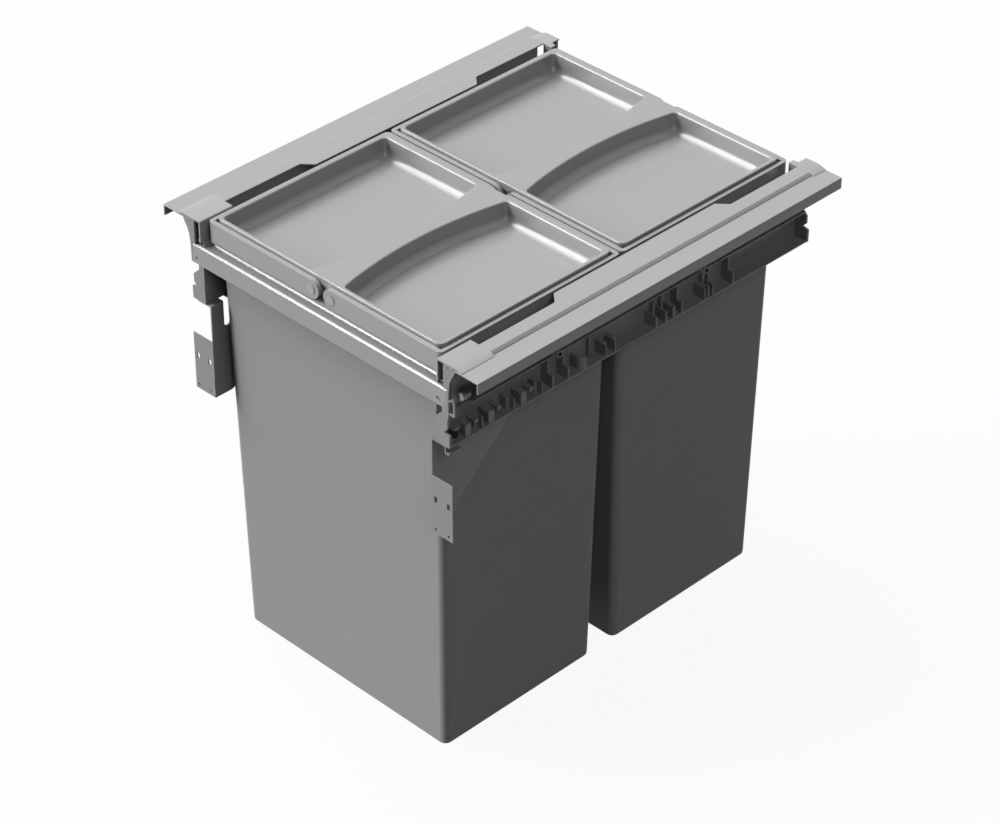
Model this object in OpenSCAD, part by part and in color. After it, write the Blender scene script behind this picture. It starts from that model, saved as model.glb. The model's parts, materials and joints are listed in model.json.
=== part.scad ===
// Pull-out trash cabinet unit with two lidded bins that hang side by side in
// a frame on telescopic slides. Lengths are in millimetres, +Z is up, the
// front faces -Y. The origin lies under the middle of the unit, level with
// the undersides of the bins.

/* [Unit] */
// Width over the outer faces of the two side covers
cover_span = 416; // [380:1:520]
// Length of the side covers from front to rear
deck_len = 482.5; // [450:0.5:560]
// Depth of the bin undersides below the tops of the covers
bin_drop = 465.8; // [320:1:600]
// Room between the covers and the cabinet side on each side
side_room = 1; // [0.5:0.1:3]
// Thickness of the folded steel sheet
sheet = 1.4; // [1:0.1:1.8]

/* [Side covers] */
// Thickness of the cover sheet
cover_sheet = 1.5; // [1:0.1:2]
// Height of the outer lip
lip_drop = 11.8; // [8:0.2:16]
// Width of the cover from the lip to its inner edge
cover_width = 51; // [48:0.5:54]
// Depth of the finger recesses in the inner edge
recess_depth = 11; // [4:0.5:14]
// Rise of the inner band over the outer band
band_rise = 2.75; // [1.8:0.05:4]
// Width of the outer band at the foot of the slanted step
outer_band = 22.3; // [18:0.1:24]
// Run of the slanted step
step_run = 3.2; // [2:0.1:5]
// Length of the moulded front cap
front_cap_len = 41; // [30:1:60]
// Length of the moulded rear cap
rear_cap_len = 18; // [14:1:30]

/* [Bins] */
// Distance from the outer face of a cover to the neck of the bins
neck_inset = 60.9; // [60.5:0.1:64]
// Room before the front handle ring
front_room = 7.4; // [7:0.1:12]
// Room behind the rear handle ring
rear_room = 14.9; // [14.9:0.1:24]
// Gap between the handle rings of the two bins
bin_gap = 1.8; // [1:0.1:6]
// Draft of the bin walls in degrees
draft = 1; // [0.5:0.1:1.4]
// Wall thickness of the bins
bin_wall = 1.6; // [1.4:0.1:2.4]
// Radius of the upright corners
bin_corner = 8; // [4:0.5:14]

/* [Lids] */
// Height of the lid top over the cover tops
lid_top = 5.65; // [5:0.05:8]
// Thickness of the lid plate
lid_plate = 2.2; // [1.5:0.1:3]
// Depth of the dishes
dish_depth = 21; // [12:0.5:30]
// Half width of the ridge at its waist
ridge_waist = 8.4; // [5:0.1:14]
// Half width of the ridge at its ends
ridge_end = 20.6; // [16:0.1:30]
// Radius of the fillet between dish wall and floor
dish_fillet = 7.8; // [2:0.1:8.4]

/* [Handles] */
// Height of the flat handle straps
strap_height = 20; // [14:0.5:20.5]
// Width of the side straps
strap_side = 4.2; // [3:0.1:4.6]
// Width of the front and rear straps
strap_end = 5; // [4:0.1:5.4]
// Radius of the hinge pins
pin_r = 3.2; // [2:0.1:5]

/* [Slides] */
// Height of the outer slide member
slide_height = 21.2; // [18:0.2:22]
// Thickness of the slide
slide_thick = 12; // [10.5:0.1:12.4]
// Distance between the cabinet screws of one side
screw_pitch = 192; // [128:1:256]
// Radius of the cabinet screw holes
screw_r = 2.1; // [1.5:0.1:2.4]

/* [Nodes] */
// The sub-part that is drawn

/* [Hidden] */
$fn = 48;
// Overrun of every cut
over = 1;
// Gap between pieces that move past each other
run_gap = 0.3;

// Places on the right side, measured from the middle of the unit
lip_x = cover_span / 2;
lip_in = lip_x - cover_sheet;
wall_x = lip_x + side_room;
cover_in = lip_x - cover_width;
recess_in = cover_in + recess_depth;
step_out = lip_x - outer_band;
step_in = step_out - step_run;
// The outer band reaches under the inner band
band_lap = 7.7;
band_in = step_out - band_lap;
cover_under = -cover_sheet;
band_under = band_rise - cover_sheet;
// Foot of the slanted step, a little over the outer band
step_foot = 1.8;
step_gap = 0.4;

// Bins and handle rings
ring_gap_x = 2.6;
ring_gap_y = 2.1;
ring_half_y = (deck_len - front_room - rear_room - bin_gap) / 4;
neck_half_x = lip_x - neck_inset;
neck_half_y = ring_half_y - ring_gap_y - strap_end;
first_bin = front_room + ring_half_y;
neck_front = first_bin - neck_half_y;
second_bin = first_bin + 2 * ring_half_y + bin_gap;

// Recess places along the cover
recess_ramp = 10;
recess_past = 14;
recess_ahead = 17;
recess_a = front_cap_len;
recess_b = first_bin + recess_past;
bridge_a = recess_b + recess_ramp;
recess_c = second_bin + recess_ahead;
bridge_b = recess_c - recess_ramp;
recess_d = deck_len - rear_cap_len;

// Folded side channel
web_gap = 7.1;
web_in = neck_half_x + web_gap;
web_out = web_in + sheet;
ledge_reach = 4.7;
shelf_in = web_in - ledge_reach;
hat_top = -20;
hat_width = 23.9;
hat_out = shelf_in + hat_width;
rail_shelf = -36.6;
rail_shelf_w = 12.6;
rail_shelf_out = hat_out + rail_shelf_w;
rail_shelf_front = 15;
rail_shelf_rear = 23.5;
channel_depth = 87;
channel_floor = -channel_depth + sheet;
floor_out = hat_out - sheet;
plate_t = 2.5;
notch_w = 1.6;
notch_deep = 3;
notch_share = [0.24, 0.285, 0.33, 0.57, 0.645, 0.72];

// Moulded caps
cap_wall = 1.7;
cap_in = cover_in - 0.25 * cap_wall;
cap_step_out = step_out + 0.72 * step_run;
cap_step_in = step_in - 0.69 * step_run;
cap_corner = 1.5;
rear_tongue = 6;
rear_tongue_ramp = 1.5;
rear_tongue_in = 6.2;
rear_wall_drop = 14;

// End plates: outline shares of the plate width and height
plate_w = 18;
plate_in = web_in;
plate_top = band_under;
plate_h = channel_depth + plate_top;
upper_share = [
    [0.595, 1], [1.31, 1], [1.31, 0.967], [1.44, 0.967], [1.30, 0.91], [1.14, 0.856],
    [1.02, 0.79], [0.967, 0.70], [0.944, 0.58], [0.939, 0.468], [0.83, 0.468],
    [0.83, 0.703], [0.595, 0.703]
];
lower_share = [
    [0, 0], [0.992, 0], [1.0, 0.155], [0.61, 0.17], [0.86, 0.225],
    [0.856, 0.318], [0.39, 0.409], [0.40, 0.468], [0, 0.468]
];
window_share = [[0.09, 0.50], [0.09, 0.33], [0.46, 0.406], [0.46, 0.50]];
filler_share = [
    [0.48, 0.36], [0.8, 0.3], [0.93, 0.36], [0.939, 0.47], [0.48, 0.47]
];
rear_share = [
    [0, 0], [0.992, 0], [1.0, 0.155], [0.61, 0.17], [0.86, 0.225],
    [0.856, 0.318], [0.39, 0.409], [0.40, 0.457], [0.939, 0.457],
    [0.944, 0.58], [0.967, 0.70], [1.02, 0.79], [1.14, 0.856], [1.30, 0.91],
    [1.44, 0.967], [1.31, 0.967], [1.31, 1], [0.595, 1], [0.595, 0.759],
    [0, 0.759]
];
joint_share = [
    [0, 0.42], [0.085, 0.42], [0.085, 0.475], [0.6, 0.52], [0.939, 0.52],
    [0.939, 0.66], [0.6, 0.66], [0, 0.54]
];
dot_r = 0.8;
dot_share = [0.905, 0.972];

// Latch lever at the right end plate
lever_out = 3.7;
lever_in = 2.1;
lever_x = plate_in + 0.952 * plate_w + lever_out;
lever_z = -37;
lever_leg = 13.4;
lever_foot = 7.5;

// Stop roller beside the right end plate
roller_r = 4.4;
roller_len = 10;
roller_front = 8;

// Cross bars
bar_top = -25;
bar_low = -45.7;
bar_r = 2.5;
bar_flat = 5.2;
bar_rise_r = 3;
bar_shelf = neck_front - run_gap;
bar_tab = 6.5;
bar_end = plate_in + 0.82 * plate_w;
rear_bar_back = 10.5;
rear_bar_reach = 10;
slot_share = [[0.08, 0.42], [0.1, 0.31], [0.4, 0.24], [0.37, 0.34]];
bar_hole_r = 1.4;
bar_hole_in = 5.5;
bar_hole_down = 14.3;

// Front panel brackets
bracket_t = 1.5;
bracket_inset = 5.1;
bracket_x = web_in - bracket_inset;
bracket_low = 103.4;
flange_w = 27.5;
flange_h = 62.8;
arm_w = 15;
arm_front = 0.7;
slot_gap = 7.4;
slot_deep = 27.6;
foot_rear = 27.5;
foot_r = 8;
heel_up = 12;
brace_len = 122;
tab_reach = 17.5;
brace_tab = 36;
panel_hole_in = 6;
panel_hole_pitch = 16.5;
panel_hole_r = 1.5;
panel_hole_up = 5;
panel_slot_w = 4.2;
panel_slot_h = 7.2;
panel_slot_up = 38;
lug_down = 7;
lug_out = 4;

// Cover carrier and slides
carrier_front = 20;
carrier_rear = 22;
carrier_inset = 3;
carrier_x = rail_shelf_out - carrier_inset;
carrier_low = -22;
slide_front = 22;
slide_rear = 20.5;
slide_len = deck_len - slide_front - slide_rear;
slide_x = carrier_x + sheet;
slide_down = 11.1;
slide_mid = cover_under - slide_down;
slide_sheet = 1;
race = 1.9;
ball_r = 0.9;
ball_count = 3;
cage_t = 0.6;
cage_w = 4;
cage_len = 150;
cage_in = 0.5;
mid_setback = 6;
bush_r = 3.5;
bush_down = 4.4;
screw_front = 101;

// Moulded insert in the channel
insert_front = 10;
insert_rear = 106.5;
insert_len = deck_len - insert_front - insert_rear;
insert_wall = 1.4;
insert_h = 25;
block_h = 12.6;
tall_h = 42;
tall_out = 10;
rib_t = 1.6;
fin_t = 1.2;
insert_out = floor_out - web_out;
post_share = [0.074, 0.183, 0.281];
post_w = 10;
post_len = 6;
block_share = [0.03, 0.109, 0.221];
block_len = 7;
twin_gap = 4;
twin_len = 5;
twin_t = 3.4;
rib_share = [0.328, 0.382, 0.798, 0.992];
inner_rib_share = [0.489, 0.93];
fin_share = [0.702, 0.738, 0.77, 0.898, 0.915];
stub_share = [0.72, 0.75, 0.905];
stub_w = 6;
stub_len = 3;
stub_h = 20;
lump_share = [0.519, 0.552, 0.765, 0.885];
lump_len = 5;
lump_w = 12;
hook_share = 0.43;
hook_r = 7;
hook_t = 2.6;
knob_r = 5.2;
knob_shaft = 3.4;
knob_x = 7;
knob_y = 5.4;
knob_t = 3;

// Bins
ledge_t = 1.9;
ledge_top = hat_top + run_gap + ledge_t;
ledge_corner = 5;
neck_top = lid_top - lid_plate - run_gap;
body_h = bin_drop + hat_top;
foot_half_x = neck_half_x - body_h * tan(draft);
foot_half_y = neck_half_y - body_h * tan(draft);
foot_fillet = 3;
foot_steps = 3;
base_t = 2.4;
corner_steps = 8;

// Handle ring, lid and dishes
ring_half_x = neck_half_x + ring_gap_x + strap_side;
ring_low = ledge_top + run_gap;
ring_r = strap_height / 2;
hinge_z = ring_low + ring_r;
end_gap = 3;
hinge_x = ring_r + end_gap;
ring_corner = 5;
ring_inner_corner = 0.5;
pin_play = 0.05;
pin_head_r = 4.8;
pin_head_t = 0.5;
pin_head_gap = 0.2;
boss_r = 5;
lid_lap_x = 1.5;
lid_lap_y = 1.1;
lid_half_x = neck_half_x + lid_lap_x;
lid_half_y = neck_half_y + lid_lap_y;
lid_corner = 7;
lid_edge = 0.8;
skirt_t = 0.8;
skirt_drop = 5.4;
dish_wall = 1.2;
dish_gap = 0.45;
dish_rim = 7;
dish_out = neck_half_x - bin_wall - dish_wall - dish_gap;
dish_front = neck_half_y - bin_wall - dish_wall - dish_gap;
dish_rear = lid_half_y - dish_rim;
dish_half_y = (dish_front + dish_rear) / 2;
dish_shift = (dish_rear - dish_front) / 2;
corner_room = 0.8;
corner_least = 0.5;
dish_r = max(bin_corner - bin_wall - dish_wall - corner_room, corner_least);
dish_lean = 0.3;
dish_steps = 6;
arc_steps = 24;
sagitta = ridge_end - ridge_waist;
arc_r = (dish_half_y * dish_half_y + sagitta * sagitta) / (2 * sagitta);
arc_x = ridge_waist + arc_r;

steel = [0.62, 0.62, 0.63];
steel_dark = [0.45, 0.45, 0.46];
shell_grey = [0.55, 0.55, 0.56];
lid_grey = [0.66, 0.66, 0.67];
insert_grey = [0.25, 0.25, 0.27];

// Names of all sub-parts

// Moves the deck frame, whose zero is the front edge of the cover tops, onto
// the origin of the unit
module seat() {
    translate([0, -deck_len / 2, bin_drop])
        children();
}

// Draws a right-hand piece, or its mirror image on the left
module on_side(left) {
    seat()
        mirror([left ? 1 : 0, 0, 0])
            children();
}

// Extrudes an outline in X and Z from one place along Y to another
module along_y(y0, y1) {
    translate([0, y1, 0])
        rotate([90, 0, 0])
            linear_extrude(y1 - y0)
                children();
}

// Extrudes an outline in Y and Z from one place along X to another
module along_x(x0, x1) {
    translate([x0, 0, 0])
        rotate([90, 0, 90])
            linear_extrude(x1 - x0)
                children();
}

// Box between two corners
module block(a, b) {
    translate(a)
        cube(b - a);
}

// Rounded rectangle around the origin
module pad(half_x, half_y, r) {
    square([2 * half_x - 2 * r, 2 * half_y], center = true);
    square([2 * half_x, 2 * half_y - 2 * r], center = true);
    for (sx = [-1, 1], sy = [-1, 1])
        translate([sx * (half_x - r), sy * (half_y - r)])
            circle(r);
}

// Points of a rounded rectangle at one height
function pad_ring(half_x, half_y, r, z) = [
    for (q = [0:3])
        for (k = [0:corner_steps])
            let (
                a = 90 * (q + k / corner_steps),
                sx = (q == 0 || q == 3) ? 1 : -1,
                sy = q < 2 ? 1 : -1
            )
            [sx * (half_x - r) + r * cos(a), sy * (half_y - r) + r * sin(a), z]
];

// Solid through a stack of rings with equal point counts, lowest first
module loft(rings) {
    n = len(rings[0]);
    last = len(rings) - 1;
    polyhedron(
        points = [for (ring = rings) for (p = ring) p],
        faces = concat(
            [[for (i = [0:n - 1]) i]],
            [
                for (k = [0:last - 1])
                    for (i = [0:n - 1])
                        let (j = (i + 1) % n)
                        [k * n + i, (k + 1) * n + i, (k + 1) * n + j, k * n + j]
            ],
            [[for (i = [n - 1:-1:0]) last * n + i]]
        )
    );
}

// Outline of the folded channel: hat with ledge, slide shelf, web and floor
module channel_outline() {
    polygon([
        [shelf_in, hat_top],
        [hat_out, hat_top],
        [hat_out, rail_shelf],
        [rail_shelf_out, rail_shelf],
        [rail_shelf_out, rail_shelf - sheet],
        [floor_out, rail_shelf - sheet],
        [floor_out, hat_top - sheet],
        [web_out, hat_top - sheet],
        [web_out, channel_floor],
        [floor_out, channel_floor],
        [floor_out, -channel_depth],
        [web_in, -channel_depth],
        [web_in, hat_top - sheet],
        [shelf_in, hat_top - sheet]
    ]);
}

module side_channel(left) {
    shelf_rear = deck_len - rail_shelf_rear;
    shelf_run = shelf_rear - rail_shelf_front;
    color(steel)
        on_side(left)
            difference() {
                along_y(plate_t, deck_len - plate_t)
                    channel_outline();
                // The bin ledge begins behind the shelf of the front bar
                block([shelf_in - over, 0, hat_top - sheet - over],
                    [web_in, bar_shelf, hat_top + over]);
                // The slide shelf stops short of both ends
                block([hat_out, 0, rail_shelf - sheet - over],
                    [rail_shelf_out + over, rail_shelf_front, rail_shelf + over]);
                block([hat_out, shelf_rear, rail_shelf - sheet - over],
                    [rail_shelf_out + over, deck_len, rail_shelf + over]);
                // Slits in the edge of the shelf
                for (s = notch_share)
                    translate([rail_shelf_out - notch_deep,
                        rail_shelf_front + s * shelf_run, rail_shelf - sheet - over])
                        cube([notch_deep + over, notch_w, sheet + 2 * over]);
            }
}

module outer_cover(left) {
    color(lid_grey)
        on_side(left)
            along_y(0, deck_len)
                polygon([
                    [band_in, 0],
                    [lip_x, 0],
                    [lip_x, -lip_drop],
                    [lip_in, -lip_drop],
                    [lip_in, cover_under],
                    [band_in, cover_under]
                ]);
}

// Plan of the notched inner edge, used as a cutter
module recess_plan() {
    polygon([
        [cover_in - over, recess_a - over],
        [recess_in, recess_a - over],
        [recess_in, recess_b],
        [cover_in, bridge_a],
        [cover_in, bridge_b],
        [recess_in, recess_c],
        [recess_in, recess_d + over],
        [cover_in - over, recess_d + over]
    ]);
}

module inner_cover(left) {
    color(lid_grey)
        on_side(left)
            difference() {
                along_y(recess_a, recess_d)
                    polygon([
                        [cover_in, band_under],
                        [cover_in, band_rise],
                        [step_in, band_rise],
                        [step_out, step_gap],
                        [step_out - step_foot, step_gap],
                        [step_in - step_foot / 2, band_under]
                    ]);
                translate([0, 0, band_under - over])
                    linear_extrude(cover_sheet + 2 * over)
                        recess_plan();
            }
}

module front_cap(left) {
    color(lid_grey)
        on_side(left)
            along_y(0, front_cap_len)
                difference() {
                    polygon([
                        [cap_in, hat_top],
                        [cap_in, band_rise],
                        [cap_step_in, band_rise],
                        [cap_step_out, step_gap],
                        [cap_step_out - step_foot, step_gap],
                        [cap_step_in - step_foot / 2, band_under],
                        [cap_in + cap_wall, band_under],
                        [cap_in + cap_wall, hat_top]
                    ]);
                    // Round inner edge
                    difference() {
                        translate([cap_in - over, band_rise - cap_corner])
                            square(cap_corner + over);
                        translate([cap_in + cap_corner, band_rise - cap_corner])
                            circle(cap_corner);
                    }
                }
}

// Plan of the rear cap with its tongue towards the bins
module rear_cap_plan() {
    tongue_end = recess_d + rear_tongue;
    polygon([
        [cover_in, recess_d],
        [cap_step_out + over, recess_d],
        [cap_step_out + over, deck_len],
        [cover_in + rear_tongue_in, deck_len],
        [cover_in + rear_tongue_in, tongue_end + rear_tongue_ramp],
        [cover_in, tongue_end]
    ]);
}

module rear_cap(left) {
    color(lid_grey)
        on_side(left) {
            intersection() {
                along_y(recess_d, deck_len)
                    polygon([
                        [cover_in, band_under],
                        [cover_in, band_rise],
                        [cap_step_in, band_rise],
                        [cap_step_out, step_gap],
                        [cap_step_out - step_foot, step_gap],
                        [cap_step_in - step_foot / 2, band_under]
                    ]);
                translate([0, 0, -over])
                    linear_extrude(band_rise + 2 * over)
                        rear_cap_plan();
            }
            block([cover_in, recess_d, band_under - rear_wall_drop],
                [recess_in, recess_d + cap_wall, band_under]);
        }
}

// Plate outline from a table of shares
module plate_shape(table) {
    polygon([
        for (s = table)
            [plate_in + s[0] * plate_w, -channel_depth + s[1] * plate_h]
    ]);
}

// Locating hole in the top of an end plate
module plate_dot() {
    translate([plate_in + dot_share[0] * plate_w,
        -channel_depth + dot_share[1] * plate_h])
        circle(dot_r);
}

module front_plate(left) {
    color(steel)
        on_side(left)
            union() {
                along_y(0, plate_t)
                    difference() {
                        union() {
                            plate_shape(upper_share);
                            plate_shape(lower_share);
                            if (!left)
                                plate_shape(filler_share);
                        }
                        if (!left)
                            plate_shape(window_share);
                        plate_dot();
                    }
                // Joint behind the end of the cross bar
                along_y(sheet, plate_t)
                    plate_shape(joint_share);
            }
}

module rear_plate(left) {
    color(steel)
        on_side(left)
            along_y(deck_len - plate_t, deck_len)
                difference() {
                    plate_shape(rear_share);
                    plate_dot();
                }
}

module latch_lever() {
    color(steel)
        on_side(false)
            along_y(0, plate_t) {
                // Hooked head
                intersection() {
                    translate([lever_x, lever_z])
                        difference() {
                            circle(lever_out);
                            circle(lever_in);
                        }
                    translate([lever_x - lever_out, lever_z])
                        square([2 * lever_out, lever_out]);
                }
                // Leg and foot
                translate([lever_x + lever_in, lever_z - lever_leg])
                    square([lever_out - lever_in, lever_leg]);
                translate([lever_x + lever_out - lever_foot, lever_z - lever_leg])
                    square([lever_foot, lever_out - lever_in]);
            }
}

module stop_roller() {
    color(steel)
        on_side(false)
            translate([hat_out + roller_r, roller_front, rail_shelf + roller_r])
                rotate([-90, 0, 0])
                    cylinder(r = roller_r, h = roller_len);
}

// Section of the front bar: upright wall, rolled edge, flat top, and the
// shelf that carries the bin ledge
module bar_section() {
    rise_y = bar_r + bar_flat;
    wall_y = rise_y + bar_rise_r;
    difference() {
        union() {
            translate([0, bar_low])
                square([sheet, bar_top - bar_r - bar_low]);
            intersection() {
                translate([bar_r, bar_top - bar_r])
                    circle(bar_r);
                translate([0, bar_top - bar_r])
                    square(bar_r);
            }
            translate([bar_r, bar_top - sheet])
                square([bar_flat, sheet]);
            intersection() {
                translate([rise_y, bar_top + bar_rise_r])
                    circle(bar_rise_r + sheet);
                translate([rise_y, bar_top - sheet])
                    square(bar_rise_r + sheet);
            }
            translate([wall_y, bar_top + bar_rise_r])
                square([sheet, hat_top - bar_top - bar_rise_r]);
            translate([wall_y, hat_top - sheet])
                square([bar_shelf - wall_y, sheet]);
        }
        translate([bar_r, bar_top - bar_r])
            circle(bar_r - sheet);
        translate([rise_y, bar_top + bar_rise_r])
            circle(bar_rise_r);
    }
}

module front_cross_bar() {
    color(steel)
        seat()
            difference() {
                along_x(-bar_end, bar_end)
                    bar_section();
                // The shelf keeps between the webs of the side channels, and the
                // flat top reaches past them as a short tab
                for (s = [0, 1])
                    mirror([s, 0, 0]) {
                        block([web_in, plate_t, bar_low - over],
                            [web_out, bar_shelf + over, hat_top + over]);
                        block([web_in, bar_tab, bar_low - over],
                            [bar_end + over, bar_shelf + over, hat_top + over]);
                    }
                // Slot at the right end and hole at the left end
                along_y(-over, sheet + over)
                    polygon([
                        for (s = slot_share)
                            [plate_in + s[0] * plate_w,
                                bar_top - (1 - s[1]) * (bar_top - bar_low)]
                    ]);
                translate([bar_hole_in - bar_end, -over, bar_top - bar_hole_down])
                    rotate([-90, 0, 0])
                        cylinder(r = bar_hole_r, h = sheet + 2 * over);
            }
}

module rear_cross_bar() {
    back = deck_len - rear_bar_back;
    color(steel)
        seat() {
            block([-shelf_in, back - rear_bar_reach, hat_top - sheet],
                [shelf_in, back, hat_top]);
            block([-web_in, back - sheet, bar_low],
                [web_in, back, hat_top - sheet]);
        }
}

// Side view of the bracket web: arm, open slot, braced rear and rounded heel
module bracket_web() {
    top = -channel_depth - sheet;
    low = -channel_depth - bracket_low;
    slot_a = arm_front + arm_w;
    slot_low = top - slot_deep + slot_gap / 2;
    difference() {
        union() {
            polygon([
                [arm_front, low],
                [foot_rear - foot_r, low],
                [foot_rear, low + foot_r],
                [foot_rear, low + heel_up],
                [brace_len, top],
                [arm_front, top]
            ]);
            intersection() {
                translate([foot_rear - foot_r, low + foot_r])
                    circle(foot_r);
                translate([foot_rear - foot_r, low])
                    square(foot_r);
            }
        }
        translate([slot_a, slot_low])
            square([slot_gap, top + over - slot_low]);
        translate([slot_a + slot_gap / 2, slot_low])
            circle(slot_gap / 2);
    }
}

module panel_bracket(left) {
    low = -channel_depth - bracket_low;
    web_out_x = bracket_x + bracket_t;
    brace_from = arm_front + arm_w + slot_gap;
    tab_end = bracket_x + tab_reach;
    tab_low = -channel_depth - sheet;
    color(steel)
        on_side(left) {
            along_x(bracket_x - bracket_t, bracket_x)
                bracket_web();
            // Tabs under the channel floor
            block([bracket_x - bracket_t, arm_front, tab_low],
                [tab_end, arm_front + arm_w, -channel_depth]);
            block([bracket_x - bracket_t, brace_from, tab_low],
                [tab_end, brace_from + brace_tab, -channel_depth]);
            // Bends of the tabs, inside the web
            block([bracket_x - bracket_t, arm_front, tab_low - over],
                [bracket_x, arm_front + arm_w, -channel_depth]);
            block([bracket_x - bracket_t, brace_from, tab_low - over],
                [bracket_x, brace_from + brace_tab, -channel_depth]);
            // Hanging tab with a small turned-out foot
            if (!left) {
                block([tab_end - sheet, arm_front, -channel_depth - lug_down - sheet],
                    [tab_end, arm_front + arm_w, -channel_depth]);
                block([tab_end, arm_front, -channel_depth - lug_down - sheet],
                    [tab_end + lug_out, arm_front + arm_w, -channel_depth - lug_down]);
            }
            // Front flange with slots and pilot holes
            along_y(0, bracket_t)
                difference() {
                    translate([bracket_x - bracket_t, low])
                        square([flange_w, flange_h]);
                    for (k = [0, 1])
                        translate([bracket_x - bracket_t + panel_hole_in
                            + k * panel_hole_pitch, low]) {
                            translate([0, panel_hole_up])
                                circle(panel_hole_r);
                            for (s = [-1, 1])
                                translate([0, panel_slot_up
                                    + s * (panel_slot_h - panel_slot_w) / 2])
                                    circle(panel_slot_w / 2);
                            translate([-panel_slot_w / 2, panel_slot_up
                                - (panel_slot_h - panel_slot_w) / 2])
                                square([panel_slot_w, panel_slot_h - panel_slot_w]);
                        }
                }
        }
}

module cover_carrier(left) {
    color(steel_dark)
        on_side(left) {
            along_y(carrier_front, deck_len - carrier_rear)
                polygon([
                    [floor_out, hat_top],
                    [floor_out, cover_under],
                    [slide_x, cover_under],
                    [slide_x, carrier_low],
                    [carrier_x, carrier_low],
                    [carrier_x, cover_under - sheet],
                    [hat_out, cover_under - sheet],
                    [hat_out, hat_top]
                ]);
            // The upright wall reaches on to the front plate
            block([floor_out, plate_t, hat_top], [hat_out, carrier_front, cover_under]);
        }
}

// Half heights of the three nested slide members
outer_half = slide_height / 2;
middle_half = outer_half - slide_sheet - race;
inner_half = middle_half - slide_sheet - race;
slide_out = slide_x + slide_thick;
race_x = slide_x + slide_thick / 2;

// Section of one slide member, open to one side
module rail_section(web_at, web_to, half, lip_to) {
    translate([min(web_at, web_to), slide_mid - half])
        square([abs(web_to - web_at), 2 * half]);
    for (s = [0, 1])
        translate([min(web_at, lip_to), slide_mid - half
            + s * (2 * half - slide_sheet)])
            square([abs(lip_to - web_at), slide_sheet]);
}

module cabinet_rail(left) {
    screw_z = slide_mid - bush_down;
    color(steel_dark)
        on_side(left)
            difference() {
                union() {
                    along_y(slide_front, slide_front + slide_len)
                        rail_section(slide_out, slide_out - slide_sheet,
                            outer_half, race_x - cage_w / 2);
                    for (k = [0, 1])
                        translate([slide_out, screw_front + k * screw_pitch, screw_z])
                            rotate([0, 90, 0])
                                cylinder(r = bush_r, h = wall_x - slide_out);
                }
                for (k = [0, 1])
                    translate([slide_out - slide_sheet - over,
                        screw_front + k * screw_pitch, screw_z])
                        rotate([0, 90, 0])
                            cylinder(r = screw_r,
                                h = wall_x - slide_out + slide_sheet + 2 * over);
            }
}

module middle_rail(left) {
    web_at = slide_out - slide_sheet - run_gap;
    color(steel_dark)
        on_side(left)
            along_y(slide_front, slide_front + slide_len - mid_setback)
                rail_section(web_at, web_at - slide_sheet, middle_half,
                    race_x - cage_w / 2);
}

module drawer_rail(left) {
    color(steel_dark)
        on_side(left)
            along_y(slide_front, slide_front + slide_len)
                rail_section(slide_x, slide_x + slide_sheet, inner_half,
                    race_x + cage_w / 2);
}

// Ball strips between the slide members
module ball_cage(left) {
    cage_y = slide_front + (slide_len - cage_len) / 2;
    step = cage_len / ball_count;
    color(steel_dark)
        on_side(left)
            for (s = [-1, 1], level = [outer_half, middle_half]) {
                z = slide_mid + s * (level - slide_sheet - race / 2);
                translate([race_x - cage_w / 2 + cage_in, cage_y, z - cage_t / 2])
                    cube([cage_w - 2 * cage_in, cage_len, cage_t]);
                for (k = [0:ball_count - 1])
                    translate([race_x, cage_y + (k + 0.5) * step, z])
                        sphere(ball_r, $fn = 24);
            }
}

// Pieces of the moulded insert, placed along the channel
module insert_block(share, width, length, height) {
    translate([web_out, insert_front + share * insert_len, channel_floor])
        cube([width, length, height]);
}

module clip_insert(left) {
    color(insert_grey)
        on_side(left) {
            insert_block(0, insert_wall, insert_len, insert_h);
            // Square posts with a fin towards the open side
            for (s = post_share) {
                insert_block(s, post_w, post_len, block_h);
                translate([0, post_len - 2 * fin_t, 0])
                    insert_block(s, insert_out, fin_t, block_h);
            }
            // Blocks with a raised twin tongue behind them
            for (s = block_share) {
                insert_block(s, insert_out - fin_t, block_len, block_h);
                translate([0, block_len + twin_gap, block_h - twin_t])
                    insert_block(s, insert_out - fin_t, twin_len, twin_t);
                translate([0, block_len, 0])
                    insert_block(s, post_w / 2, twin_gap + twin_len, block_h);
            }
            // Stepped ribs that reach up under the slide shelf
            for (s = rib_share) {
                insert_block(s, tall_out, rib_t, tall_h);
                insert_block(s, insert_out, rib_t, block_h);
            }
            for (s = inner_rib_share)
                insert_block(s, tall_out / 2, rib_t, tall_h);
            for (s = fin_share)
                insert_block(s, insert_out, rib_t, block_h);
            for (s = stub_share)
                insert_block(s, stub_w, stub_len, stub_h);
            for (s = lump_share) {
                insert_block(s, lump_w, lump_len, block_h);
                insert_block(s, insert_out, fin_t, block_h);
            }
            // Hooked rib
            insert_block(hook_share, insert_out - hook_r, hook_t, block_h);
            translate([floor_out - hook_r,
                insert_front + hook_share * insert_len + hook_r, channel_floor])
                linear_extrude(block_h)
                    intersection() {
                        difference() {
                            circle(hook_r);
                            circle(hook_r - hook_t);
                        }
                        translate([0, -hook_r])
                            square(hook_r);
                    }
            // Round knob at the front end, with a fin to the wall
            translate([0, knob_y - fin_t / 2, 0])
                insert_block(0, knob_x, fin_t, block_h);
            translate([web_out + knob_x, insert_front + knob_y, channel_floor]) {
                cylinder(r = knob_shaft, h = block_h);
                translate([0, 0, block_h - knob_t])
                    cylinder(r = knob_r, h = knob_t);
            }
        }
}

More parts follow.
